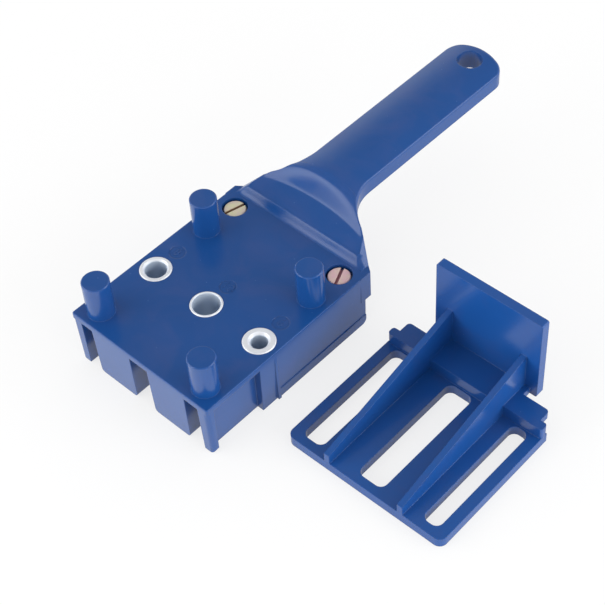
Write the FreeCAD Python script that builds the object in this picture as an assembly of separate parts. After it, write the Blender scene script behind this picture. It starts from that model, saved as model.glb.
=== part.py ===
import FreeCAD, Part
import math
import os

# Hand-held drill guide for 6, 8 and 10 mm dowel holes, with its separate fence beside it.
# The origin is the lower mouth of the 10 mm bushing, on the sole of the guide.
# +X runs along the row of bushings, +Y towards the handle and +Z up. All sizes are in millimetres.

# Top plate and the box below it
HALF_WIDTH = 33.6
FRONT_REACH = 33.4
REAR_REACH = 48.6
BOX_HEIGHT = 24.5
PLATE_THICK = 2.5
WALL = 2.4
RIB = 1.8
SPINE_SHARE = 0.6
BOX_REAR = 45.8
FLANGE_DROP = 12.4
REAR_RADIUS = 2.2
PLATE_EDGE_RADIUS = 0.5
PLATE_CORNER_RADIUS = 0.9

# Comb at the front: two legs, two blocks and three sight gaps
LEG_WIDTH = 4.4
LEG_DEPTH = 3.2
LEG_CORNER_RADIUS = 1.8
GAP_8_WIDTH = 6.1
GAP_10_WIDTH = 9.3
GAP_6_WIDTH = 7.1
GAP_DRAFT = 0.3
FACE_DRAFT = 0.6
FOOT_RADIUS = 1.6
COMB_WALL = 2.0

# Side walls, as seen from outside
RECESS_DEPTH = 3.1
RECESS_END = -8.1
SEAM_RIB_START = -1.0
SEAM_RIB_END = 0.3
SEAM_RIB_PROUD = 0.9
SIDE_DRAFT = 0.35
SOLE_STRIP_HEIGHT = 4.0
SOLE_STRIP_PROUD = 0.35

# Guide bushings: name, drill size, entry chamfer; left to right along the row
BUSHINGS = [("bushing_8mm", 8.0, 0.7), ("bushing_10mm", 10.0, 0.3), ("bushing_6mm", 6.0, 0.95)]
BUSHING_PITCH = 25.7
BUSHING_OUTSIDE = 12.0
BUSHING_PROUD = 0.3
DRILL_CLEARANCE = 0.1
BUSHING_EDGE = 0.35
BOSS_WALL = 2.5

# Size marks behind the bushings
MARK_DISTANCE = 10.8
MARK_DIAMETER = 6.3
MARK_DEPTH = 0.25

# Centring pegs
PEG_DIAMETER = 10.1
PEG_HEIGHT = 15.8
PEG_X = 25.9
PEG_Y = 26.05
PEG_EDGE = 0.4

# Clamp screws with their captive nuts
SCREW_X = 25.9
SCREW_Y = 40.6
SCREW_DIAMETER = 5.0
HEAD_DIAMETER = 8.4
HEAD_HEIGHT = 3.3
HEAD_SUNK = 0.9
HEAD_EDGE = 0.3
HEAD_CLEARANCE = 0.7
DRIVE_SLOT_WIDTH = 1.2
DRIVE_SLOT_DEPTH = 1.3
LEFT_SLOT_ANGLE = 75.0
RIGHT_SLOT_ANGLE = 113.5
SHANK_LENGTH = 20.0
SHANK_CLEARANCE = 0.3
THREAD_CLEARANCE = 0.05
NUT_FLATS = 8.0
NUT_HEIGHT = 4.0
NUT_CLEARANCE = 0.1
NUT_SEAT = 9.0
SCREW_BOSS_WALL = 2.0

# Neck: a low facet that rises from the plate, then a curved step up to the handle
NECK_WAIST_X = 22.5
NECK_WAIST_Y = 56.8
FACET_RISE = 3.0
FACET_SLOPE = 0.54
FACET_FOOT_HALF = 31.1
FACET_EDGE_RADIUS = 2.2
SWEEP_LIP = 1.0
SWEEP_LENGTH = 13.4
STEP_Y = 60.0
STEP_RADIUS = 80.0
STEP_SLOPE = 0.45
STEP_EDGE_RADIUS = 2.5
NECK_DROP = 2.7
NECK_CURVATURE_SHARE = 0.28
CLIMB_START = 56.0
CLIMB_END = 68.0

# Handle: a crowned channel, open and ribbed below
HANDLE_HALF_WIDTH = 12.6
HANDLE_END = 153.0
HANDLE_SIDE_LOW = 8.0
HANDLE_STRAIGHT_Y = 72.0
CROWN_TOP = 16.4
CROWN_RADIUS = 35.0
CROWN_STATION_PITCH = 6.0
HANDLE_CORNER_RADIUS = 6.5
HANDLE_END_RADIUS = 26.0
HANDLE_EDGE_RADIUS = 1.1
HANDLE_RIB_PITCH = 15.0
HANG_HOLE_DIAMETER = 10.0
HANG_HOLE_INSET = 8.1
HANG_BOSS_WALL = 2.2

# Fence: a slotted plate with a gusseted end plate, lying beside the guide
FENCE_GAP = 15.1
FENCE_Y = -12.33
FENCE_TURN = 0.8
FENCE_WIDTH = 67.4
FENCE_MIDDLE = 34.1
FENCE_DEPTH = 56.8
FENCE_THICK = 4.1
FENCE_CORNER_RADIUS = 3.0
SLOT_CLEARANCE = 0.8
SLOT_START = 3.5
SLOT_END_GAP = 0.7
SLOT_CORNER_RADIUS = 2.75
RISER_THICK = 3.4
RISER_HEIGHT = 9.1
RISER_CORNER_RADIUS = 1.2
SHELF_THICK = 3.0
SHELF_INSET = 2.9
SHELF_REACH = 5.1
SHELF_CORNER_RADIUS = 1.5
WEB_HALF_WIDTH = 19.3
END_PLATE_WIDTH = 44.5
END_PLATE_THICK = 3.55
END_PLATE_LOW = 6.2
END_PLATE_TOP = 43.25
END_PLATE_DISTANCE = 8.8
END_PLATE_CORNER_RADIUS = 0.8
GUSSET_THICK = 2.24
GUSSET_SPREAD = 31.75
GUSSET_TOE = 4.1
GUSSET_TOP = 24.3

# Places worked out from the sizes above
UNDER_PLATE = BOX_HEIGHT - PLATE_THICK
FLANGE_LOW = BOX_HEIGHT - FLANGE_DROP
RECESS_HALF = HALF_WIDTH - RECESS_DEPTH
BOSS_RADIUS = BUSHING_OUTSIDE / 2 + BOSS_WALL
COUNTERBORE_FLOOR = BOX_HEIGHT - HEAD_SUNK - HEAD_HEIGHT
COUNTERBORE_RADIUS = HEAD_DIAMETER / 2 + HEAD_CLEARANCE
SCREW_BOSS_RADIUS = COUNTERBORE_RADIUS + SCREW_BOSS_WALL
HANDLE_LOW = BOX_HEIGHT + HANDLE_SIDE_LOW
HANDLE_TOP = BOX_HEIGHT + CROWN_TOP
SPINE_X = BUSHING_PITCH * SPINE_SHARE

# Cutters run this far past what they cut, fused parts overlap by this much,
# and edges are picked out by places within this nearness
BEYOND = 5.0
OVERLAP = 1.0
NEAR = 0.01


def block(x0, x1, y0, y1, z0, z1):
    return Part.makeBox(x1 - x0, y1 - y0, z1 - z0, FreeCAD.Vector(x0, y0, z0))


def cylinder(x, y, z0, z1, radius):
    return Part.makeCylinder(radius, z1 - z0, FreeCAD.Vector(x, y, z0))


def closed_face(points):
    return Part.Face(Part.makePolygon(points + [points[0]]))


def plan_prism(outline, z0, z1):
    points = [FreeCAD.Vector(x, y, z0) for x, y in outline]
    return closed_face(points).extrude(FreeCAD.Vector(0, 0, z1 - z0))


def side_prism(outline, x0, x1):
    points = [FreeCAD.Vector(x0, y, z) for y, z in outline]
    return closed_face(points).extrude(FreeCAD.Vector(x1 - x0, 0, 0))


def front_prism(outline, y0, y1):
    points = [FreeCAD.Vector(x, y0, z) for x, z in outline]
    return closed_face(points).extrude(FreeCAD.Vector(0, y1 - y0, 0))


def fused(first, others):
    return first.multiFuse(others).removeSplitter()


def edges_where(shape, test):
    return [edge for edge in shape.Edges if test(edge)]


def is_along(edge, axis):
    first = edge.valueAt(edge.FirstParameter)
    last = edge.valueAt(edge.LastParameter)
    return abs((last - first).normalize().dot(axis)) > 0.98


X_AXIS = FreeCAD.Vector(1, 0, 0)
Y_AXIS = FreeCAD.Vector(0, 1, 0)
Z_AXIS = FreeCAD.Vector(0, 0, 1)


def bushing_x(index):
    return (index - 1) * BUSHING_PITCH


# Plate with rounded front corners and a soft upper edge
def make_plate():
    plate = block(-HALF_WIDTH, HALF_WIDTH, -FRONT_REACH, REAR_REACH, UNDER_PLATE, BOX_HEIGHT)
    corners = edges_where(plate, lambda e: is_along(e, Z_AXIS) and e.CenterOfMass.y < 0)
    plate = plate.makeFillet(PLATE_CORNER_RADIUS, corners)
    rim = edges_where(
        plate,
        lambda e: e.CenterOfMass.z > BOX_HEIGHT - NEAR and e.CenterOfMass.y < REAR_REACH - NEAR,
    )
    return plate.makeFillet(PLATE_EDGE_RADIUS, rim)


# Sight gaps of the comb: lower left corner, width at the sole
def comb_gaps():
    left = -HALF_WIDTH + LEG_WIDTH
    right = HALF_WIDTH - LEG_WIDTH - GAP_6_WIDTH
    return [(left, GAP_8_WIDTH), (-GAP_10_WIDTH / 2, GAP_10_WIDTH), (right, GAP_6_WIDTH)]


def front_face_outline(depth):
    return [
        (-FRONT_REACH, UNDER_PLATE),
        (-FRONT_REACH + FACE_DRAFT, 0),
        (-FRONT_REACH + depth, 0),
        (-FRONT_REACH + depth, UNDER_PLATE),
    ]


def gap_cutter(left, width):
    outline = [
        (left, -BEYOND),
        (left, 0),
        (left + GAP_DRAFT, UNDER_PLATE),
        (left + width - GAP_DRAFT, UNDER_PLATE),
        (left + width, 0),
        (left + width, -BEYOND),
    ]
    return front_prism(outline, -FRONT_REACH - BEYOND, -BOSS_RADIUS)


# Comb: one drafted block with the gaps cut through to the bushing bosses, its feet rounded
def make_comb():
    comb = side_prism(front_face_outline(FRONT_REACH + RECESS_END), -RECESS_HALF, RECESS_HALF)
    for left, width in comb_gaps():
        comb = comb.cut(gap_cutter(left, width))
    inner_gap_sides = [
        left + side * width
        for left, width in comb_gaps()
        for side in (0, 1)
        if abs(left + side * width) < HALF_WIDTH - LEG_WIDTH - OVERLAP
    ]
    feet = edges_where(
        comb,
        lambda e: is_along(e, Y_AXIS)
        and abs(e.CenterOfMass.z) < NEAR
        and min(abs(e.CenterOfMass.x - x) for x in inner_gap_sides) < NEAR,
    )
    return comb.makeFillet(FOOT_RADIUS, feet)


# Corner legs, flush with the edge of the plate
def make_leg(side):
    inner = side * (HALF_WIDTH - LEG_WIDTH)
    outer = side * HALF_WIDTH
    leg = side_prism(front_face_outline(LEG_DEPTH), min(inner, outer), max(inner, outer))
    outer_edges = edges_where(
        leg,
        lambda e: abs(e.CenterOfMass.x - outer) < NEAR
        and (abs(e.CenterOfMass.z) < NEAR or is_along(e, Z_AXIS))
        and e.CenterOfMass.y < -FRONT_REACH + LEG_DEPTH - NEAR,
    )
    return leg.makeFillet(LEG_CORNER_RADIUS, outer_edges)


# Side walls behind the recess, with a seam rib and a strip along the sole
def make_side_walls():
    drafted = HALF_WIDTH - SIDE_DRAFT
    walls = front_prism(
        [(HALF_WIDTH, UNDER_PLATE), (drafted, 0), (-drafted, 0), (-HALF_WIDTH, UNDER_PLATE)],
        RECESS_END,
        BOX_REAR,
    )
    strip_half = drafted + SOLE_STRIP_PROUD
    strip = block(-strip_half, strip_half, SEAM_RIB_END, BOX_REAR, 0, SOLE_STRIP_HEIGHT)
    rib_half = drafted + SEAM_RIB_PROUD
    rib = front_prism(
        [(HALF_WIDTH, UNDER_PLATE), (rib_half, 0), (-rib_half, 0), (-HALF_WIDTH, UNDER_PLATE)],
        SEAM_RIB_START,
        SEAM_RIB_END,
    )
    envelope = block(-HALF_WIDTH * 2, HALF_WIDTH * 2, RECESS_END, BOX_REAR, 0, UNDER_PLATE)
    lower_rear = edges_where(
        envelope,
        lambda e: is_along(e, X_AXIS) and e.CenterOfMass.y > BOX_REAR - NEAR and e.CenterOfMass.z < NEAR,
    )
    envelope = envelope.makeFillet(REAR_RADIUS, lower_rear)
    return fused(walls, [strip, rib]).common(envelope)


# Volume above the lower edge of neck and handle, which sweeps up from the box to the handle
def above_lower_edge():
    start = REAR_REACH + SWEEP_LIP
    end = start + SWEEP_LENGTH
    poles = [
        FreeCAD.Vector(-HALF_WIDTH * 2, start, FLANGE_LOW),
        FreeCAD.Vector(-HALF_WIDTH * 2, start + SWEEP_LENGTH / 2, FLANGE_LOW),
        FreeCAD.Vector(-HALF_WIDTH * 2, end - SWEEP_LENGTH / 2, HANDLE_LOW),
        FreeCAD.Vector(-HALF_WIDTH * 2, end, HANDLE_LOW),
    ]
    curve = Part.BezierCurve()
    curve.setPoles(poles)
    corners = [
        (HANDLE_END + BEYOND, HANDLE_LOW),
        (HANDLE_END + BEYOND, HANDLE_TOP + BEYOND),
        (BOX_REAR - WALL, HANDLE_TOP + BEYOND),
        (BOX_REAR - WALL, FLANGE_LOW),
    ]
    points = [FreeCAD.Vector(-HALF_WIDTH * 2, y, z) for y, z in corners]
    rest = Part.makePolygon([poles[3]] + points + [poles[0]])
    wire = Part.Wire([curve.toShape()] + rest.Edges)
    return Part.Face(wire).extrude(FreeCAD.Vector(HALF_WIDTH * 4, 0, 0))


# Slanting wall of the neck, moved inwards by an even wall for the hollow
def neck_wall(inset):
    along = FreeCAD.Vector(NECK_WAIST_X - HALF_WIDTH, NECK_WAIST_Y - REAR_REACH, 0).normalize()
    inward = FreeCAD.Vector(-along.y, along.x, 0) * inset
    shoulder_x = HALF_WIDTH - inset
    shoulder_y = REAR_REACH + inward.y + (shoulder_x - HALF_WIDTH - inward.x) * along.y / along.x
    return (shoulder_x, shoulder_y), (NECK_WAIST_X + inward.x, NECK_WAIST_Y + inward.y)


# Plan of neck and handle: a broad front, a flare into straight sides and a rounded end,
# each arc tangent to what follows it
def flared_plan(inset, front_corners, z0, z1):
    half = HANDLE_HALF_WIDTH - inset
    front = front_corners[0]
    waist = front_corners[-1]

    flare = FreeCAD.Vector(waist[0] - half, HANDLE_STRAIGHT_Y - waist[1], 0)
    flare_radius = flare.Length ** 2 / (2 * flare.x)
    flare_angle = math.atan2(flare.x, flare.y)
    belly_x = half + flare_radius * (1 - math.cos(flare_angle))
    belly_y = HANDLE_STRAIGHT_Y - flare_radius * math.sin(flare_angle)

    end_radius = HANDLE_END_RADIUS - inset
    end_centre = HANDLE_END - HANDLE_END_RADIUS
    corner = max(HANDLE_CORNER_RADIUS - inset, RIB / 2)
    corner_x = half - corner
    corner_y = end_centre + math.sqrt((end_radius - corner) ** 2 - corner_x ** 2)
    turn = math.atan2(corner_y - end_centre, corner_x)

    def bend(angle):
        return (corner_x + corner * math.cos(angle), corner_y + corner * math.sin(angle))

    def arc(side, *places):
        return Part.Arc(*[FreeCAD.Vector(side * x, y, z0) for x, y in places]).toShape()

    def line(first, last):
        return Part.makeLine(FreeCAD.Vector(*first, z0), FreeCAD.Vector(*last, z0))

    edges = [line((-front[0], front[1]), front)]
    for side in (1, -1):
        for first, last in zip(front_corners, front_corners[1:]):
            edges.append(line((side * first[0], first[1]), (side * last[0], last[1])))
        edges.append(arc(side, waist, (belly_x, belly_y), (half, HANDLE_STRAIGHT_Y)))
        edges.append(line((side * half, HANDLE_STRAIGHT_Y), (side * half, corner_y)))
        edges.append(arc(side, bend(0), bend(turn / 2), bend(turn)))
    tip = bend(turn)
    edges.append(arc(1, tip, (0, end_centre + end_radius), (-tip[0], tip[1])))
    outline = Part.Wire(Part.__sortEdges__(edges))
    return Part.Face(outline).extrude(FreeCAD.Vector(0, 0, z1 - z0))


def neck_plan(inset, front, z0, z1):
    shoulder, waist = neck_wall(inset)
    return flared_plan(inset, [(shoulder[0], front), shoulder, waist], z0, z1)


# Roof over the neck: both of its sides slope at 45 degrees and cut across the slanting walls
def make_roof(inset, rear):
    foot = FACET_FOOT_HALF - inset * math.sqrt(2)
    spread = foot + BOX_HEIGHT
    return front_prism([(-spread, 0), (spread, 0), (0, BOX_HEIGHT + foot)], BOX_REAR - WALL, rear)


# Facet behind the plate: a wedge that slopes up to the step, under the roof
def make_facet(inset):
    front = REAR_REACH + inset
    rear = STEP_Y + FACET_RISE
    low = BOX_HEIGHT + FACET_RISE - inset
    high = low + (rear - REAR_REACH) * FACET_SLOPE
    slope = side_prism(
        [(front, UNDER_PLATE), (front, low), (rear, high), (rear, UNDER_PLATE)], -HALF_WIDTH, HALF_WIDTH
    )
    wedge = slope.common(make_roof(inset, rear))
    if not inset:
        rim = edges_where(
            wedge,
            lambda e: e.BoundBox.YMax < front + NEAR and e.BoundBox.ZMax > BOX_HEIGHT,
        )
        wedge = wedge.makeFillet(FACET_EDGE_RADIUS, rim)
    return wedge.common(neck_plan(inset, BOX_REAR, UNDER_PLATE, HANDLE_TOP))


# Crown of the handle: flat over the neck, then lofted in even steps to the arc of the grip
def crown_section(y, top, curvature):
    half = HALF_WIDTH
    drop = half ** 2 * curvature / (1 + math.sqrt(1 - (half * curvature) ** 2))
    left = FreeCAD.Vector(-half, y, top - drop)
    right = FreeCAD.Vector(half, y, top - drop)
    low = -BEYOND * 2
    arc = Part.Arc(left, FreeCAD.Vector(0, y, top), right).toShape()
    legs = Part.makePolygon([right, FreeCAD.Vector(half, y, low), FreeCAD.Vector(-half, y, low), left])
    return Part.Wire([arc] + legs.Edges)


def make_crown():
    first = BOX_REAR - WALL
    count = math.ceil((HANDLE_END + BEYOND - first) / CROWN_STATION_PITCH)
    sections = []
    for index in range(count + 1):
        y = first + index * CROWN_STATION_PITCH
        share = min(max((y - CLIMB_START) / (CLIMB_END - CLIMB_START), 0), 1)
        level = share * share * (3 - 2 * share)
        top = HANDLE_TOP - NECK_DROP * (1 - level)
        curvature = (NECK_CURVATURE_SHARE + (1 - NECK_CURVATURE_SHARE) * level) / CROWN_RADIUS
        sections.append(crown_section(y, top, curvature))
    return Part.makeLoft(sections, True, False)


# Curved step between facet and handle: a wide cone taken away from the front
def step_cutter(inset):
    z0 = -BEYOND * 3
    z1 = HANDLE_TOP + BEYOND
    base = BOX_HEIGHT + FACET_RISE + (STEP_Y - REAR_REACH) * FACET_SLOPE
    low_radius = STEP_RADIUS - (base - z0) * STEP_SLOPE
    high_radius = STEP_RADIUS + (z1 - base) * STEP_SLOPE
    foot = FreeCAD.Vector(0, STEP_Y + inset - STEP_RADIUS, z0)
    return Part.makeCone(low_radius, high_radius, z1 - z0, foot)


def make_grip():
    crown = make_crown().common(make_roof(0, HANDLE_END + BEYOND)).cut(step_cutter(0))
    step = edges_where(
        crown,
        lambda e: e.BoundBox.ZMin > BOX_HEIGHT
        and abs(e.CenterOfMass.x) < NEAR
        and e.CenterOfMass.y < CLIMB_END,
    )
    crown = crown.makeFillet(STEP_EDGE_RADIUS, step)
    grip = crown.common(neck_plan(0, BOX_REAR, FLANGE_LOW, HANDLE_TOP + BEYOND))
    rim = edges_where(
        grip,
        lambda e: e.BoundBox.ZMin > BOX_HEIGHT + FACET_RISE
        and e.BoundBox.YMin > STEP_Y - RIB / 2
        and not is_along(e, Z_AXIS)
        and (abs(e.CenterOfMass.x) > HANDLE_HALF_WIDTH - WALL or e.CenterOfMass.y > HANDLE_STRAIGHT_Y),
    )
    return grip.makeFillet(HANDLE_EDGE_RADIUS, rim)


def make_neck_and_handle():
    skirt = neck_plan(0, BOX_REAR - WALL, FLANGE_LOW, BOX_HEIGHT)
    return fused(make_grip(), [skirt, make_facet(0)]).common(above_lower_edge())


# Hollow of the grip: a plain arched ceiling that follows the climb of the crown
def make_grip_hollow():
    ceiling = HANDLE_TOP - WALL
    climb = side_prism(
        [
            (BOX_REAR, -BEYOND),
            (BOX_REAR, ceiling - NECK_DROP),
            (CLIMB_START + RIB, ceiling - NECK_DROP),
            (CLIMB_END + RIB, ceiling),
            (HANDLE_END, ceiling),
            (HANDLE_END, -BEYOND),
        ],
        -HALF_WIDTH,
        HALF_WIDTH,
    )
    arch = Part.makeCylinder(
        CROWN_RADIUS - WALL,
        HANDLE_END,
        FreeCAD.Vector(0, 0, HANDLE_TOP - CROWN_RADIUS),
        Y_AXIS,
    )
    hollow = neck_plan(WALL, BOX_REAR, -BEYOND, HANDLE_TOP).common(climb).common(arch)
    return hollow.cut(step_cutter(WALL))


# Hollow underside: cells between ribs, so that no wall of the moulding is thick
def make_ribs():
    spine_low = -BEYOND
    ribs = []
    for x in (-SPINE_X, 0, SPINE_X):
        ribs.append(block(x - RIB / 2, x + RIB / 2, 0, STEP_Y + BEYOND, spine_low, HANDLE_TOP))
    first = HANDLE_STRAIGHT_Y
    last = HANDLE_END - HANG_HOLE_INSET - HANG_HOLE_DIAMETER / 2 - HANG_BOSS_WALL
    count = int((last - first) / HANDLE_RIB_PITCH) + 1
    for index in range(count):
        y = first + index * HANDLE_RIB_PITCH
        ribs.append(block(-HALF_WIDTH, HALF_WIDTH, y - RIB / 2, y + RIB / 2, spine_low, HANDLE_TOP))
    ribs.append(block(-RIB / 2, RIB / 2, STEP_Y, HANDLE_END, spine_low, HANDLE_TOP))
    return ribs


def make_bosses():
    bosses = []
    for index in range(len(BUSHINGS)):
        bosses.append(cylinder(bushing_x(index), 0, -BEYOND, BOX_HEIGHT, BOSS_RADIUS))
    for side in (-1, 1):
        bosses.append(cylinder(side * SCREW_X, SCREW_Y, -BEYOND, BOX_HEIGHT, SCREW_BOSS_RADIUS))
    hang_y = HANDLE_END - HANG_HOLE_INSET
    bosses.append(cylinder(0, hang_y, -BEYOND, HANDLE_TOP, HANG_HOLE_DIAMETER / 2 + HANG_BOSS_WALL))
    return bosses


def make_hollow():
    front = -FRONT_REACH + FACE_DRAFT + COMB_WALL
    half = HALF_WIDTH - SIDE_DRAFT - WALL
    cells = [block(-half, half, RIB / 2, BOX_REAR - WALL, -BEYOND, UNDER_PLATE)]
    gaps = comb_gaps()
    for (left, width), (next_left, _) in zip(gaps, gaps[1:]):
        cells.append(
            block(left + width + COMB_WALL, next_left - COMB_WALL, front, -RIB / 2, -BEYOND, UNDER_PLATE)
        )
    cells.append(neck_plan(WALL, BOX_REAR, -BEYOND, UNDER_PLATE))
    cells.append(make_facet(WALL))
    cells.append(make_grip_hollow())
    return fused(cells[0], cells[1:]).cut(make_ribs() + make_bosses())


# Centring pegs that stand on the plate
def make_pegs():
    pegs = []
    for x in (-PEG_X, PEG_X):
        for y in (-PEG_Y, PEG_Y):
            peg = cylinder(x, y, UNDER_PLATE, BOX_HEIGHT + PEG_HEIGHT, PEG_DIAMETER / 2)
            rim = edges_where(peg, lambda e: e.BoundBox.ZMin > BOX_HEIGHT + PEG_HEIGHT - NEAR)
            pegs.append(peg.makeChamfer(PEG_EDGE, rim))
    return pegs


def hexagon(x, y, flats, z0, z1):
    radius = flats / math.sqrt(3)
    outline = []
    for corner in range(6):
        angle = math.radians(60 * corner)
        outline.append((x + radius * math.cos(angle), y + radius * math.sin(angle)))
    return plan_prism(outline, z0, z1)


# Bores and recesses: bushing seats, screw holes, nut pockets, size marks, hanging hole
def make_bores():
    bores = []
    for index in range(len(BUSHINGS)):
        x = bushing_x(index)
        bores.append(cylinder(x, 0, -BEYOND, BOX_HEIGHT + BEYOND, BUSHING_OUTSIDE / 2))
        bores.append(
            cylinder(x, MARK_DISTANCE, BOX_HEIGHT - MARK_DEPTH, BOX_HEIGHT + BEYOND, MARK_DIAMETER / 2)
        )
    for side in (-1, 1):
        x = side * SCREW_X
        shank_hole = SCREW_DIAMETER / 2 + SHANK_CLEARANCE
        bores.append(cylinder(x, SCREW_Y, COUNTERBORE_FLOOR, BOX_HEIGHT + BEYOND, COUNTERBORE_RADIUS))
        bores.append(cylinder(x, SCREW_Y, 0, COUNTERBORE_FLOOR + OVERLAP, shank_hole))
        bores.append(hexagon(x, SCREW_Y, NUT_FLATS + 2 * NUT_CLEARANCE, -BEYOND, NUT_SEAT))
    hang_y = HANDLE_END - HANG_HOLE_INSET
    bores.append(cylinder(0, hang_y, 0, HANDLE_TOP + BEYOND, HANG_HOLE_DIAMETER / 2))
    return bores


def make_body():
    outer = fused(
        make_plate(),
        [make_comb(), make_leg(1), make_leg(-1), make_side_walls(), make_neck_and_handle()],
    )
    shell = outer.cut(make_hollow())
    return fused(shell, make_pegs()).cut(make_bores())


# Turned steel bushing with a chamfered entry, flush with the sole
def make_bushing(index):
    name, drill, entry = BUSHINGS[index]
    bore = (drill + DRILL_CLEARANCE) / 2
    outside = BUSHING_OUTSIDE / 2
    top = BOX_HEIGHT + BUSHING_PROUD
    profile = [
        (bore, 0),
        (outside, 0),
        (outside, top - BUSHING_EDGE),
        (outside - BUSHING_EDGE, top),
        (bore + entry, top),
        (bore, top - entry),
    ]
    face = closed_face([FreeCAD.Vector(r, 0, z) for r, z in profile])
    turned = face.revolve(FreeCAD.Vector(0, 0, 0), Z_AXIS, 360)
    turned.translate(FreeCAD.Vector(bushing_x(index), 0, 0))
    return turned


# Slotted cheese-head screw, its head resting on the floor of the counterbore
def make_screw(side, slot_angle):
    top = COUNTERBORE_FLOOR + HEAD_HEIGHT
    head = cylinder(0, 0, COUNTERBORE_FLOOR, top, HEAD_DIAMETER / 2)
    rim = edges_where(head, lambda e: e.BoundBox.ZMin > top - NEAR)
    head = head.makeChamfer(HEAD_EDGE, rim)
    shank = cylinder(0, 0, COUNTERBORE_FLOOR - SHANK_LENGTH, COUNTERBORE_FLOOR + OVERLAP, SCREW_DIAMETER / 2)
    tip = edges_where(shank, lambda e: e.BoundBox.ZMax < COUNTERBORE_FLOOR - SHANK_LENGTH + NEAR)
    shank = shank.makeChamfer(HEAD_EDGE * 2, tip)
    slot = block(
        -HEAD_DIAMETER, HEAD_DIAMETER, -DRIVE_SLOT_WIDTH / 2, DRIVE_SLOT_WIDTH / 2,
        top - DRIVE_SLOT_DEPTH, top + OVERLAP,
    )
    slot.rotate(FreeCAD.Vector(0, 0, 0), Z_AXIS, slot_angle)
    screw = fused(head, [shank]).cut(slot)
    screw.translate(FreeCAD.Vector(side * SCREW_X, SCREW_Y, 0))
    return screw


# Hexagon nut, drawn up to the top of its pocket
def make_nut(side):
    x = side * SCREW_X
    nut = hexagon(x, SCREW_Y, NUT_FLATS, NUT_SEAT - NUT_HEIGHT, NUT_SEAT)
    corner = NUT_FLATS / math.sqrt(3)
    rounded = cylinder(x, SCREW_Y, NUT_SEAT - NUT_HEIGHT, NUT_SEAT, corner)
    rounded = rounded.makeChamfer(corner - NUT_FLATS / 2, [e for e in rounded.Edges if e.Closed])
    thread = SCREW_DIAMETER / 2 + THREAD_CLEARANCE
    return nut.common(rounded).cut(cylinder(x, SCREW_Y, 0, BOX_HEIGHT, thread))


# Fence, drawn with its front left lower corner at the origin and then set down beside the guide
def rounded_slot(centre, width, y0, y1, radius):
    slot = block(centre - width / 2, centre + width / 2, y0, y1, -BEYOND, FENCE_THICK + BEYOND)
    corners = edges_where(slot, lambda e: is_along(e, Z_AXIS))
    return slot.makeFillet(radius, corners)


def make_fence_plate():
    plate = block(0, FENCE_WIDTH, 0, FENCE_DEPTH, 0, FENCE_THICK)
    front = edges_where(plate, lambda e: is_along(e, Z_AXIS) and e.CenterOfMass.y < NEAR)
    return plate.makeFillet(FENCE_CORNER_RADIUS, front)


def make_riser():
    riser = block(0, FENCE_WIDTH, FENCE_DEPTH - RISER_THICK, FENCE_DEPTH, 0, RISER_HEIGHT)
    ends = edges_where(riser, lambda e: is_along(e, Z_AXIS))
    return riser.makeFillet(RISER_CORNER_RADIUS, ends)


def make_shelf():
    low = RISER_HEIGHT - SHELF_THICK
    reach = FENCE_DEPTH + SHELF_REACH
    shelf = block(SHELF_INSET, FENCE_WIDTH - SHELF_INSET, FENCE_DEPTH - OVERLAP, reach, low, RISER_HEIGHT)
    rear = edges_where(shelf, lambda e: is_along(e, Z_AXIS) and e.CenterOfMass.y > reach - NEAR)
    shelf = shelf.makeFillet(SHELF_CORNER_RADIUS, rear)
    middle = FENCE_MIDDLE
    web_end = FENCE_DEPTH + END_PLATE_DISTANCE + END_PLATE_THICK / 2
    web = block(middle - WEB_HALF_WIDTH, middle + WEB_HALF_WIDTH, FENCE_DEPTH, web_end, low, RISER_HEIGHT)
    return fused(shelf, [web])


def make_end_plate():
    middle = FENCE_MIDDLE
    front = FENCE_DEPTH + END_PLATE_DISTANCE
    plate = block(
        middle - END_PLATE_WIDTH / 2, middle + END_PLATE_WIDTH / 2, front, front + END_PLATE_THICK,
        END_PLATE_LOW, END_PLATE_TOP,
    )
    corners = edges_where(plate, lambda e: is_along(e, Y_AXIS))
    return plate.makeFillet(END_PLATE_CORNER_RADIUS, corners)


def make_gusset(side):
    middle = FENCE_MIDDLE + side * GUSSET_SPREAD / 2
    end = FENCE_DEPTH + END_PLATE_DISTANCE
    outline = [
        (0, FENCE_THICK / 2),
        (0, FENCE_THICK + GUSSET_TOE),
        (end + OVERLAP, GUSSET_TOP),
        (end + OVERLAP, RISER_HEIGHT - SHELF_THICK),
        (FENCE_DEPTH - OVERLAP, RISER_HEIGHT - SHELF_THICK),
        (FENCE_DEPTH - OVERLAP, FENCE_THICK / 2),
    ]
    return side_prism(outline, middle - GUSSET_THICK / 2, middle + GUSSET_THICK / 2)


def make_fence():
    parts = [make_riser(), make_shelf(), make_end_plate(), make_gusset(-1), make_gusset(1)]
    fence = fused(make_fence_plate(), parts)
    slot_end = FENCE_DEPTH - RISER_THICK - SLOT_END_GAP
    for index in range(len(BUSHINGS)):
        centre = FENCE_MIDDLE + bushing_x(index)
        width = BUSHINGS[index][1] + SLOT_CLEARANCE
        fence = fence.cut(rounded_slot(centre, width, SLOT_START, slot_end, SLOT_CORNER_RADIUS))
    fence.rotate(FreeCAD.Vector(0, 0, 0), Z_AXIS, FENCE_TURN)
    fence.translate(FreeCAD.Vector(HALF_WIDTH + FENCE_GAP, FENCE_Y, 0))
    return fence


def write(name, shape):
    print(name, shape.isValid(), len(shape.Solids), round(shape.Volume, 1))
    shape.exportStep("parts/" + name + ".step")


os.makedirs("parts", exist_ok=True)
write("guide_body", make_body())
for number, bushing in enumerate(BUSHINGS):
    write(bushing[0], make_bushing(number))
write("clamp_screw_left", make_screw(-1, LEFT_SLOT_ANGLE))
write("clamp_screw_right", make_screw(1, RIGHT_SLOT_ANGLE))
write("clamp_nut_left", make_nut(-1))
write("clamp_nut_right", make_nut(1))
write("fence", make_fence())
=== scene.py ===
import math

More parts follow.
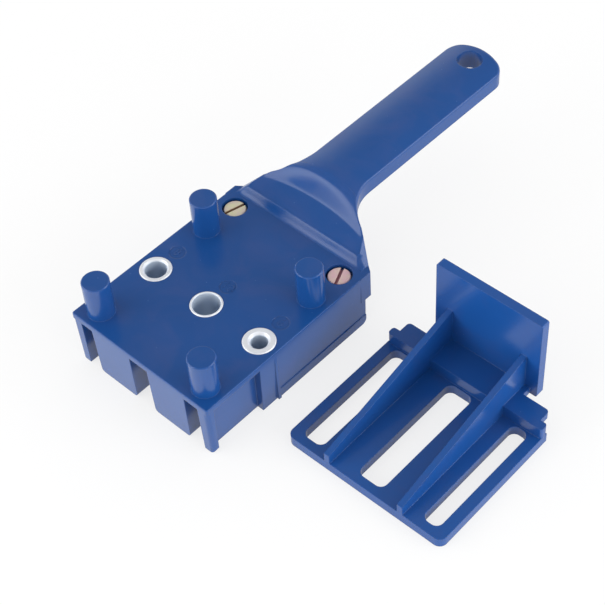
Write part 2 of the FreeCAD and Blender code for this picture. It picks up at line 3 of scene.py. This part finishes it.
import bpy
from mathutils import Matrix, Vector


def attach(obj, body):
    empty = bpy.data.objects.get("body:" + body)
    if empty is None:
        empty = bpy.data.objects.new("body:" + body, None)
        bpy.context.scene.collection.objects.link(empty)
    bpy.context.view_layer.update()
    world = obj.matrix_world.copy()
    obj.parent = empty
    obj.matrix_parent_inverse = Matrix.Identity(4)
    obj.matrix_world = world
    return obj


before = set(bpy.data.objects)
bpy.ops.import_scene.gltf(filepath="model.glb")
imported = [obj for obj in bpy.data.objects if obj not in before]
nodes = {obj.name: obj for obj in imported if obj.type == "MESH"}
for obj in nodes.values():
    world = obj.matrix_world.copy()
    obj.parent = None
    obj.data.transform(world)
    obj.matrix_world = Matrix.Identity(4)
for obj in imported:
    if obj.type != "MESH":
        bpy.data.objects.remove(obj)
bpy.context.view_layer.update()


# Body of the guide: one injection moulding of blue ABS, glossy from a polished tool.
# The plate, pegs, comb, walls and handle came out of the mould together, with edges that are
# never quite sharp, so the material rounds them a little.

def linear(code):
    channels = [int(code[i:i + 2], 16) / 255 for i in (1, 3, 5)]
    return [c / 12.92 if c <= 0.04045 else ((c + 0.055) / 1.055) ** 2.4 for c in channels] + [1.0]


def add(tree, kind, settings=None, inputs=None):
    node = tree.nodes.new(kind)
    for name, value in (settings or {}).items():
        setattr(node, name, value)
    for name, value in (inputs or {}).items():
        if isinstance(value, bpy.types.NodeSocket):
            tree.links.new(value, node.inputs[name])
        else:
            node.inputs[name].default_value = value
    return node


def new_material(name):
    material = bpy.data.materials.new(name)
    material.use_nodes = True
    material.node_tree.nodes.clear()
    return material, material.node_tree


def dress(piece, material):
    piece.data.materials.clear()
    piece.data.materials.append(material)


# ABS, injection moulded and glossy: a deep even blue under a clear gloss. Handling leaves it a
# little rougher in patches some 15 mm across, where a faint violet painted reflection lightens
# the blue, and dust lies on it in soft specks of up to 0.4 mm.
ABS_BLUE = "#154585"
ABS_PALE = "#194A8B"
ABS_PAINTED_HAZE = "#2C4A88"
DUST_GREY = "#6E8FC0"
FLOW_WIDTH = 0.022
HANDLING_AND_HAZE_WIDTH = 0.015
PAINTED_HAZE_START = 0.46
PAINTED_HAZE_FULL = 0.72
PAINTED_HAZE_SHARE = 0.55
SPECK_SPACING = 0.0042
SPECK_RADIUS = 0.00021
SPECK_SHARE = 0.6
HANDLING_START = 0.35
HANDLING_FULL = 0.7
CLEAN_ROUGHNESS = 0.16
HANDLED_ROUGHNESS = 0.27
GRAIN_WIDTH = 0.0007
GRAIN_STRENGTH = 0.05
SINK_WIDTH = 0.011
SINK_STRENGTH = 0.5
RELIEF = 0.0001
EDGE_ROUNDING = 0.0004

moulded_abs, tree = new_material("moulded_blue_abs")
place = add(tree, "ShaderNodeTexCoord").outputs["Object"]
flow = add(tree, "ShaderNodeTexNoise", inputs={
    "Vector": place, "Scale": 1 / FLOW_WIDTH, "Detail": 3.0,
})
tone = add(tree, "ShaderNodeMix", {"data_type": "RGBA"}, {
    "Factor": flow.outputs["Fac"], "A": linear(ABS_BLUE), "B": linear(ABS_PALE),
})
tone_name = tone.name
# one noise gives both the rougher handled patches and the painted violet reflection in them
handling_and_haze = add(tree, "ShaderNodeTexNoise", inputs={
    "Vector": place, "Scale": 1 / HANDLING_AND_HAZE_WIDTH, "Detail": 4.0, "Roughness": 0.6, "Distortion": 0.6,
})
painted_haze_share = add(tree, "ShaderNodeMapRange", inputs={
    "Value": handling_and_haze.outputs["Fac"], "From Min": PAINTED_HAZE_START, "From Max": PAINTED_HAZE_FULL,
    "To Min": 0.0, "To Max": PAINTED_HAZE_SHARE,
})
# the violet mix is a painted reflection, not a colour of the plastic
with_painted_haze = add(tree, "ShaderNodeMix", {"data_type": "RGBA"}, {
    "Factor": painted_haze_share.outputs["Result"], "A": tone.outputs["Result"], "B": linear(ABS_PAINTED_HAZE),
})
specks = add(tree, "ShaderNodeTexVoronoi", {"feature": "F1"}, {
    "Vector": place, "Scale": 1 / SPECK_SPACING,
})
speck_share = add(tree, "ShaderNodeMapRange", inputs={
    "Value": specks.outputs["Distance"], "From Min": 0.0, "From Max": SPECK_RADIUS / SPECK_SPACING,
    "To Min": SPECK_SHARE, "To Max": 0.0,
})
dusty = add(tree, "ShaderNodeMix", {"data_type": "RGBA"}, {
    "Factor": speck_share.outputs["Result"], "A": with_painted_haze.outputs["Result"], "B": linear(DUST_GREY),
})
gloss = add(tree, "ShaderNodeMapRange", inputs={
    "Value": handling_and_haze.outputs["Fac"], "From Min": HANDLING_START, "From Max": HANDLING_FULL,
    "To Min": CLEAN_ROUGHNESS, "To Max": HANDLED_ROUGHNESS,
})
grain = add(tree, "ShaderNodeTexNoise", inputs={
    "Vector": place, "Scale": 1 / GRAIN_WIDTH, "Detail": 2.0,
})
sink = add(tree, "ShaderNodeTexNoise", inputs={
    "Vector": place, "Scale": 1 / SINK_WIDTH, "Detail": 1.0,
})
soft_edge = add(tree, "ShaderNodeBevel", {"samples": 8}, {"Radius": EDGE_ROUNDING})
sunk = add(tree, "ShaderNodeBump", inputs={
    "Strength": SINK_STRENGTH, "Distance": RELIEF, "Height": sink.outputs["Fac"],
    "Normal": soft_edge.outputs["Normal"],
})
bump = add(tree, "ShaderNodeBump", inputs={
    "Strength": GRAIN_STRENGTH, "Distance": RELIEF, "Height": grain.outputs["Fac"],
    "Normal": sunk.outputs["Normal"],
})
shader = add(tree, "ShaderNodeBsdfPrincipled", inputs={
    "Base Color": dusty.outputs["Result"], "Roughness": gloss.outputs["Result"], "IOR": 1.54,
    "Specular IOR Level": 0.65, "Normal": bump.outputs["Normal"],
})
add(tree, "ShaderNodeOutputMaterial", inputs={"Surface": shader.outputs["BSDF"]})

dress(nodes["guide_body"], moulded_abs)


# Neck blend: the skin of the same moulding over the facet behind the plate and the soft ramp
# that carries it up into the handle. The ramp follows an arc about ARC_CENTRE_Y. The skin keeps
# to the slanting walls and the 45-degree planes beside them, and sinks into the handle.
PLATE_TOP = 0.0245
REAR_REACH = 0.0486
HALF_WIDTH = 0.0336
WAIST_X = 0.0225
WAIST_Y = 0.0568
HANDLE_HALF = 0.0126
HANDLE_STRAIGHT = 0.072
FLARE_DEPTH = WAIST_X - HANDLE_HALF
FLARE_RADIUS = (FLARE_DEPTH ** 2 + (HANDLE_STRAIGHT - WAIST_Y) ** 2) / (2 * FLARE_DEPTH)
FACET_RISE = 0.003
FACET_SLOPE = 0.54
ROOF_RISE = 0.0311
ROOF_TOP = PLATE_TOP + ROOF_RISE
ARC_CENTRE_Y = -0.020
BLEND_START = 0.0494
RAMP_START = 0.0772
RAMP_END = 0.0819
RAMP_FLARE = 0.0012
BLEND_END = 0.0850
CROWN_HEIGHT = 0.0409
CROWN_DROP = 0.0027
CLIMB_START = 0.056
CLIMB_END = 0.068
CROWN_RADIUS = 0.035
NECK_CURVATURE = 0.28
RIM_RADIUS = 0.0011
ROOF_SOFTNESS = 0.0012
SINK = 0.00006
PROUD = SINK / 3
SKIN = 0.0012
INSIDE_WALLS = 0.9995
LIFT_PLACE = 0.8
PLACE_ROUNDS = 12
PLACE_DIGITS = 8
GRID_DIGITS = 6
GRID_EDGE = 0.99
SMOOTH_ANGLE = math.radians(35)
BLEND_COLUMNS = 64
BLEND_ROWS = 44


def smooth_step(share):
    share = min(max(share, 0), 1)
    return share * share * (3 - 2 * share)


def soft_ramp(share):
    return (smooth_step(share) + min(max(share, 0), 1)) / 2


def neck_half_width(y):
    if y < WAIST_Y:
        return HALF_WIDTH + (WAIST_X - HALF_WIDTH) * (y - REAR_REACH) / (WAIST_Y - REAR_REACH)
    before_straight = HANDLE_STRAIGHT - min(y, HANDLE_STRAIGHT)
    return HANDLE_HALF + FLARE_RADIUS - math.sqrt(FLARE_RADIUS ** 2 - before_straight ** 2)


def facet_height(y):
    return PLATE_TOP + FACET_RISE + (y - REAR_REACH) * FACET_SLOPE


def crown_height(x, y):
    climb = smooth_step((y - CLIMB_START) / (CLIMB_END - CLIMB_START))
    curvature = (NECK_CURVATURE + (1 - NECK_CURVATURE) * climb) / CROWN_RADIUS
    top = CROWN_HEIGHT - CROWN_DROP * (1 - climb)
    return top - (1 - math.sqrt(1 - (x * curvature) ** 2)) / curvature


def handle_surface(x, y):
    above = Vector((x, y, 2 * CROWN_HEIGHT))
    return nodes["guide_body"].ray_cast(above, Vector((0, 0, -1)))[1].z


def below_roof(top, x):
    roof = ROOF_TOP - abs(x)
    overlap = max(ROOF_SOFTNESS - abs(top - roof), 0)
    return min(top, roof) - overlap ** 2 / (4 * ROOF_SOFTNESS)


def blend_place(across, along):
    # x and y depend on each other, so they are found by repetition
    x = 0.0
    for _ in range(PLACE_ROUNDS):
        last_y = ARC_CENTRE_Y + math.sqrt(BLEND_END ** 2 - x ** 2)
        y = BLEND_START + (last_y - BLEND_START) * along
        x = across * neck_half_width(y)
    return x, y


def blend_surface(across, along):
    x, y = blend_place(across, along)
    # the moulding's real crown is a little off the formula's, and the skin follows it
    end_x, end_y = blend_place(across * LIFT_PLACE, 1)
    lift = handle_surface(end_x, end_y) - crown_height(end_x, end_y)
    facet = facet_height(y)
    past_start = math.hypot(x, y - ARC_CENTRE_Y) - RAMP_START - RAMP_FLARE * across ** 2
    share = past_start / (RAMP_END - RAMP_START)
    ramp = soft_ramp(share)
    top = below_roof(facet + (crown_height(x, y) + lift - facet) * ramp, x)
    to_wall = min(neck_half_width(y) - abs(x), RIM_RADIUS)
    top -= (RIM_RADIUS - math.sqrt(RIM_RADIUS ** 2 - (RIM_RADIUS - to_wall) ** 2)) * ramp
    under = below_roof(facet, x)
    on_handle = smooth_step((share - 1) * (RAMP_END - RAMP_START) / (2 * SKIN) + 0.5)
    under += (top - under) * on_handle - SKIN
    sunk = SINK if along in (0, 1) else -PROUD
    return Vector((x * INSIDE_WALLS, y, top - sunk)), min(under, top - SKIN)


def flat_place(vertex):
    return tuple(round(c, PLACE_DIGITS) for c in vertex.co.xy)


def close_below(piece, undersides):
    bpy.ops.object.mode_set(mode="EDIT")
    bpy.ops.mesh.select_all(action="SELECT")
    bpy.ops.mesh.extrude_region_move(TRANSFORM_OT_translate={"value": (0, 0, 0)})
    bpy.ops.object.mode_set(mode="OBJECT")
    # the copied faces are the selected ones, and they drop to the underside
    for vertex in piece.data.vertices:
        if vertex.select:
            vertex.co.z = undersides[flat_place(vertex)]
    bpy.ops.object.mode_set(mode="EDIT")
    bpy.ops.mesh.select_all(action="SELECT")
    bpy.ops.mesh.normals_make_consistent(inside=False)
    bpy.ops.object.mode_set(mode="OBJECT")
    bpy.ops.object.shade_smooth_by_angle(angle=SMOOTH_ANGLE)


bpy.ops.object.select_all(action="DESELECT")
bpy.ops.mesh.primitive_grid_add(x_subdivisions=BLEND_COLUMNS, y_subdivisions=BLEND_ROWS, size=2.0)
neck_blend = bpy.context.object
neck_blend.name = "neck_blend"
undersides = {}
for vertex in neck_blend.data.vertices:
    across = round(vertex.co.x, GRID_DIGITS)
    along = round((vertex.co.y + 1) / 2, GRID_DIGITS)
    vertex.co, under = blend_surface(across, along)
    undersides[flat_place(vertex)] = under
close_below(neck_blend, undersides)
dress(neck_blend, moulded_abs)
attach(neck_blend, "guide")


# Riser blend: the soft ramp of the moulding from the plate up to the front edge of the facet,
# straight across the neck, with its last row sunk into the facet.
RISER_START = 0.0464
RISER_END = 0.0491
RISER_HALF_WIDTH = 0.0311
RISER_BEYOND = 0.0008
RISER_COLUMNS = 80
RISER_ROWS = 24

bpy.ops.object.select_all(action="DESELECT")
bpy.ops.mesh.primitive_grid_add(x_subdivisions=RISER_COLUMNS, y_subdivisions=RISER_ROWS, size=2.0)
riser_blend = bpy.context.object
riser_blend.name = "riser_blend"
riser_length = RISER_END + RISER_BEYOND - RISER_START + SINK
undersides = {}
for vertex in riser_blend.data.vertices:
    y = RISER_START - SINK + riser_length * (vertex.co.y + 1) / 2
    x = vertex.co.x * RISER_HALF_WIDTH
    ramp = soft_ramp((y - RISER_START) / (RISER_END - RISER_START))
    sunk = SINK if abs(vertex.co.y) > GRID_EDGE else -PROUD
    z = PLATE_TOP + max(below_roof(facet_height(y), x) - PLATE_TOP, 0) * ramp - sunk
    vertex.co = (x, y, z)
    undersides[flat_place(vertex)] = PLATE_TOP - SKIN / 2
close_below(riser_blend, undersides)
dress(riser_blend, moulded_abs)
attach(riser_blend, "guide")


# Size marks: the numbers of the drill sizes, raised on the sunk discs behind the bushings.
# They are part of the moulding, a tenth of a millimetre proud of each disc.
BUSHING_PITCH = 0.0257
MARK_DISTANCE = 0.0108
DISC_FLOOR = 0.02425
MARK_HEIGHT = 0.0036
TYPE_SIZE = 1.35 * MARK_HEIGHT
MARK_RELIEF = 0.00013
MARK_CURVES = 6

for number, x in (("8", -BUSHING_PITCH), ("10", 0), ("6", BUSHING_PITCH)):
    bpy.ops.object.select_all(action="DESELECT")
    bpy.ops.object.text_add(location=(x, MARK_DISTANCE, DISC_FLOOR))
    mark = bpy.context.object
    mark.name = "size_mark_" + number
    mark.data.body = number
    mark.data.size = TYPE_SIZE
    mark.data.align_x = "CENTER"
    mark.data.align_y = "CENTER"
    mark.data.extrude = MARK_RELIEF
    mark.data.resolution_u = MARK_CURVES
    bpy.ops.object.convert(target="MESH")
    bpy.ops.object.transform_apply(location=True, rotation=True, scale=True)
    dress(mark, moulded_abs)
    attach(mark, "guide")


# Guide bushings: turned steel tubes, zinc plated, pressed into the moulding. The plating is a
# pale blue-white, more satin than bright, over shallow turning rings broken up by a fine grain.
# The bores are painted darker than the plating outside, as painted shade that deepens further down.
RING_SPACING = 0.00314
WAVE_LENGTH = 2 * math.pi / 20  # of a wave texture at scale 1
STAIN_WIDTH = 0.004
ZINC_PALE = "#FAFCFF"
ZINC_GREY = "#E9EDF4"
BORE_GREY = "#DCE6F2"
BORE_SHADED = "#BACBE0"
BORE_RIM_OUTER = 0.0003
BORE_RIM_INNER = 0.0001
RING_TOP = 0.0248
BORE_SHADE = 0.005
TURNING_STRENGTH = 0.2
TURNING_DEPTH = 0.00005

for name, x, bore in (
    ("bushing_8mm", -BUSHING_PITCH, 0.008),
    ("bushing_10mm", 0, 0.010),
    ("bushing_6mm", BUSHING_PITCH, 0.006),
):
    zinc_plated, tree = new_material("turned_zinc_plated_steel_" + name)
    place = add(tree, "ShaderNodeTexCoord").outputs["Object"]
    centred = add(tree, "ShaderNodeMapping", inputs={"Vector": place, "Location": (-x, 0, 0)})
    rings = add(tree, "ShaderNodeTexWave", {"wave_type": "RINGS", "rings_direction": "Z"}, {
        "Vector": centred.outputs["Vector"], "Scale": WAVE_LENGTH / RING_SPACING, "Distortion": 1.2,
        "Detail": 2.0, "Detail Scale": 40.0,
    })
    stain = add(tree, "ShaderNodeTexNoise", inputs={
        "Vector": place, "Scale": 1 / STAIN_WIDTH, "Detail": 3.0,
    })
    tone = add(tree, "ShaderNodeMix", {"data_type": "RGBA"}, {
        "Factor": stain.outputs["Fac"], "A": linear(ZINC_PALE), "B": linear(ZINC_GREY),
    })
    level = add(tree, "ShaderNodeSeparateXYZ", inputs={"Vector": centred.outputs["Vector"]})
    flat = add(tree, "ShaderNodeCombineXYZ", inputs={
        "X": level.outputs["X"], "Y": level.outputs["Y"],
    })
    radius = add(tree, "ShaderNodeVectorMath", {"operation": "LENGTH"}, {0: flat.outputs["Vector"]})
    inside = add(tree, "ShaderNodeMapRange", inputs={
        "Value": radius.outputs["Value"],
        "From Min": bore / 2 + BORE_RIM_OUTER, "From Max": bore / 2 + BORE_RIM_INNER,
    })
    # the bore's grey is painted shade, darker further down the hole
    deep = add(tree, "ShaderNodeMapRange", inputs={
        "Value": level.outputs["Z"], "From Min": RING_TOP, "From Max": RING_TOP - BORE_SHADE,
    })
    bore_painted_shade = add(tree, "ShaderNodeMix", {"data_type": "RGBA"}, {
        "Factor": deep.outputs["Result"], "A": linear(BORE_GREY), "B": linear(BORE_SHADED),
    })
    whole = add(tree, "ShaderNodeMix", {"data_type": "RGBA"}, {
        "Factor": inside.outputs["Result"],
        "A": tone.outputs["Result"], "B": bore_painted_shade.outputs["Result"],
    })
    bump = add(tree, "ShaderNodeBump", inputs={
        "Strength": TURNING_STRENGTH, "Distance": TURNING_DEPTH, "Height": rings.outputs["Fac"],
    })
    shader = add(tree, "ShaderNodeBsdfPrincipled", inputs={
        "Base Color": whole.outputs["Result"], "Metallic": 0.4, "Roughness": 0.42,
        "Normal": bump.outputs["Normal"],
    })
    add(tree, "ShaderNodeOutputMaterial", inputs={"Surface": shader.outputs["BSDF"]})
    dress(nodes[name], zinc_plated)


# Clamp screws and their nuts: M5 steel, zinc plated and passivated yellow, a thin film that
# shifts from straw to pink. The screwdriver slots are painted darker, as painted shade in them.
HEAD_TOP = 0.0236
SLOT_SHADE_START = 0.00015
SLOT_SHADE_END = 0.0005
HEAD_HEIGHT = 0.0033
HEAD_EDGE = 0.0003
SLOT_SHADE_BROWN = "#B08E70"
SLOT_SHADE_PINK = "#B98792"
FILM_WIDTH = 0.0026
FILM_STRAW = 0.35
FILM_PINK = 0.65

for name, straw, pink, slot in (
    ("clamp_screw_left", "#F4F0C8", "#F8E6D8", SLOT_SHADE_BROWN),
    ("clamp_screw_right", "#FFE2D6", "#FFD4D8", SLOT_SHADE_PINK),
    ("clamp_nut_left", "#ECE8BE", "#F0DCCF", None),
    ("clamp_nut_right", "#FBDCD0", "#F8CCD0", None),
):
    passivated, tree = new_material("yellow_passivated_steel_" + name)
    place = add(tree, "ShaderNodeTexCoord").outputs["Object"]
    film = add(tree, "ShaderNodeTexNoise", inputs={
        "Vector": place, "Scale": 1 / FILM_WIDTH, "Detail": 3.0,
    })
    spread = add(tree, "ShaderNodeMapRange", inputs={
        "Value": film.outputs["Fac"], "From Min": FILM_STRAW, "From Max": FILM_PINK,
    })
    colour = add(tree, "ShaderNodeMix", {"data_type": "RGBA"}, {
        "Factor": spread.outputs["Result"], "A": linear(straw), "B": linear(pink),
    })
    # the slot colour is painted shade, darker below the head top
    if slot:
        height = add(tree, "ShaderNodeSeparateXYZ", inputs={"Vector": place}).outputs["Z"]
        depth = add(tree, "ShaderNodeMapRange", inputs={
            "Value": height,
            "From Min": HEAD_TOP - SLOT_SHADE_START, "From Max": HEAD_TOP - SLOT_SHADE_END,
        })
        head = add(tree, "ShaderNodeMapRange", inputs={
            "Value": height,
            "From Min": HEAD_TOP - HEAD_HEIGHT, "From Max": HEAD_TOP - HEAD_HEIGHT + HEAD_EDGE,
        })
        painted_slot_shade = add(tree, "ShaderNodeMath", {"operation": "MULTIPLY"}, {
            0: depth.outputs["Result"], 1: head.outputs["Result"],
        })
        colour = add(tree, "ShaderNodeMix", {"data_type": "RGBA"}, {
            "Factor": painted_slot_shade.outputs["Value"], "A": colour.outputs["Result"], "B": linear(slot),
        })
    shader = add(tree, "ShaderNodeBsdfPrincipled", inputs={
        "Base Color": colour.outputs["Result"], "Metallic": 0.5, "Roughness": 0.45,
    })
    add(tree, "ShaderNodeOutputMaterial", inputs={"Surface": shader.outputs["BSDF"]})
    dress(nodes[name], passivated)


# Fence: a second injection moulding of the same glossy ABS, with a slotted plate, a shelf, two
# gussets and an end plate. It lies loose beside the guide. Its blue is written a touch lighter,
# because its walls shade one another.
FENCE_BLUE = "#184A8F"
FENCE_PALE = "#1B4F94"

fence_abs = moulded_abs.copy()
fence_abs.name = "moulded_blue_abs_fence"
fence_tone = fence_abs.node_tree.nodes[tone_name]
fence_tone.inputs["A"].default_value = linear(FENCE_BLUE)
fence_tone.inputs["B"].default_value = linear(FENCE_PALE)
dress(nodes["fence"], fence_abs)


# Floor: a wide sheet of matt white paper. The camera sees it mostly as plain white, with a
# quarter of its real shading left in, so that it keeps the soft shadow of the guide. Gloss
# mirrors it bright in front and dimmer towards the right rear.
SHADOW_SHARE = 0.25
MIRROR_SHARE = 0.85
MIRRORED_FRONT = 1.0
MIRRORED_REAR = 0.65
DIMMING_START = -0.02
DIMMING_END = 0.06
FLOOR_SIZE = 6.0
FLOOR_DROP = 0.0002
PAPER_WHITE = (0.9, 0.9, 0.9, 1)

bpy.ops.object.select_all(action="DESELECT")
bpy.ops.mesh.primitive_plane_add(size=FLOOR_SIZE, location=(0, 0, -FLOOR_DROP))
floor = bpy.context.object
floor.name = "floor"
paper, tree = new_material("matt_white_paper")
path = add(tree, "ShaderNodeLightPath")
mirrored = add(tree, "ShaderNodeMath", {"operation": "MAXIMUM"}, {
    0: path.outputs["Is Glossy Ray"], 1: path.outputs["Is Transmission Ray"],
})
reflected = add(tree, "ShaderNodeMath", {"operation": "MULTIPLY"}, {
    0: mirrored.outputs["Value"], 1: MIRROR_SHARE,
})
seen = add(tree, "ShaderNodeMath", {"operation": "MULTIPLY"}, {
    0: path.outputs["Is Camera Ray"], 1: 1 - SHADOW_SHARE,
})
whiteness = add(tree, "ShaderNodeMath", {"operation": "ADD"}, {
    0: seen.outputs["Value"], 1: reflected.outputs["Value"],
})
matt = add(tree, "ShaderNodeBsdfDiffuse", inputs={"Color": PAPER_WHITE})
spot = add(tree, "ShaderNodeSeparateXYZ", inputs={
    "Vector": add(tree, "ShaderNodeTexCoord").outputs["Object"],
})
right_rear = add(tree, "ShaderNodeMath", {"operation": "ADD"}, {
    0: spot.outputs["X"], 1: spot.outputs["Y"],
})
dimming = add(tree, "ShaderNodeMapRange", inputs={
    "Value": right_rear.outputs["Value"], "From Min": DIMMING_START, "From Max": DIMMING_END,
    "To Min": MIRRORED_FRONT, "To Max": MIRRORED_REAR,
})
level = add(tree, "ShaderNodeMix", {"data_type": "FLOAT"}, {
    "Factor": path.outputs["Is Camera Ray"], "A": dimming.outputs["Result"], "B": 1.0,
})
glow = add(tree, "ShaderNodeEmission", inputs={
    "Color": (1, 1, 1, 1), "Strength": level.outputs["Result"],
})
blend = add(tree, "ShaderNodeMixShader", inputs={
    "Fac": whiteness.outputs["Value"], 1: matt.outputs["BSDF"], 2: glow.outputs["Emission"],
})
add(tree, "ShaderNodeOutputMaterial", inputs={"Surface": blend.outputs["Shader"]})
dress(floor, paper)


# Light: a light tent, brighter at its walls than above, and plain white to the camera. Gloss
# mirrors dimmer walls, a dim ceiling and two low strips, at the front left and at the right
# behind. Beside each strip stands a soft lamp that lights without being mirrored.
TENT_WALL = 1.5
TENT_CEILING = 0.72
WALL_MIRRORED = 0.85
CEILING_MIRRORED = 0.22
MIRRORED_WALL_TOP = 0.3
CEILING_START = 0.7
AIM = Vector((0.04, 0.03, 0.01))

world = bpy.data.worlds.new("studio")
bpy.context.scene.world = world
world.use_nodes = True
tree = world.node_tree
tree.nodes.clear()
way = add(tree, "ShaderNodeTexCoord").outputs["Generated"]
height = add(tree, "ShaderNodeSeparateXYZ", inputs={"Vector": way}).outputs["Z"]
wall = add(tree, "ShaderNodeMapRange", inputs={
    "Value": height, "From Min": MIRRORED_WALL_TOP, "From Max": CEILING_START,
    "To Min": WALL_MIRRORED, "To Max": CEILING_MIRRORED,
})
cloth = add(tree, "ShaderNodeMapRange", inputs={
    "Value": height, "From Min": 0.0, "From Max": CEILING_START,
    "To Min": TENT_WALL, "To Max": TENT_CEILING,
})
path = add(tree, "ShaderNodeLightPath")
tent = add(tree, "ShaderNodeMix", {"data_type": "FLOAT"}, {
    "Factor": path.outputs["Is Glossy Ray"],
    "A": cloth.outputs["Result"], "B": wall.outputs["Result"],
})
strength = add(tree, "ShaderNodeMix", {"data_type": "FLOAT"}, {
    "Factor": path.outputs["Is Camera Ray"], "A": tent.outputs["Result"], "B": 1.0,
})
sky = add(tree, "ShaderNodeBackground", inputs={
    "Color": (1, 1, 1, 1), "Strength": strength.outputs["Result"],
})
add(tree, "ShaderNodeOutputWorld", inputs={"Surface": sky.outputs["Background"]})

for name, place, width, height, brightness, mirrored_only in (
    ("front_left_softbox", Vector((-0.74, -1.18, 0.44)), 1.6, 0.8, 3.5, False),
    ("front_left_strip", Vector((-0.74, -1.16, 0.66)), 1.4, 0.8, 1.1, True),
    ("right_rear_softbox", Vector((1.50, 0.40, 0.42)), 1.4, 0.8, 4.8, False),
    ("right_rear_strip", Vector((1.27, 0.77, 0.73)), 1.2, 0.6, 1.6, True),
):
    bpy.ops.object.light_add(type="AREA", location=place)
    lamp = bpy.context.object
    lamp.name = name
    lamp.data.shape = "RECTANGLE"
    lamp.data.size = width
    lamp.data.size_y = height
    lamp.data.energy = brightness * math.pi * width * height
    lamp.rotation_euler = (AIM - place).to_track_quat("-Z", "Y").to_euler()
    lamp.visible_glossy = mirrored_only
    lamp.visible_diffuse = not mirrored_only


# Camera: on a stand about 0.6 m away, looking down at some 49 degrees from the front right,
# through a long lens that is shifted a little.
CAMERA_PLACE = (0.29061, -0.23228, 0.44422)
CAMERA_TURN = (0.721162, 0.046486, 0.745759)

bpy.ops.object.camera_add(location=CAMERA_PLACE, rotation=CAMERA_TURN)
camera = bpy.context.object
camera.name = "camera"
camera.data.sensor_width = 36.0
camera.data.lens = 95.27
camera.data.shift_x = -0.01265
camera.data.shift_y = -0.0079
camera.data.clip_start = 0.01
bpy.context.scene.camera = camera

bpy.context.scene.view_settings.view_transform = "Standard"
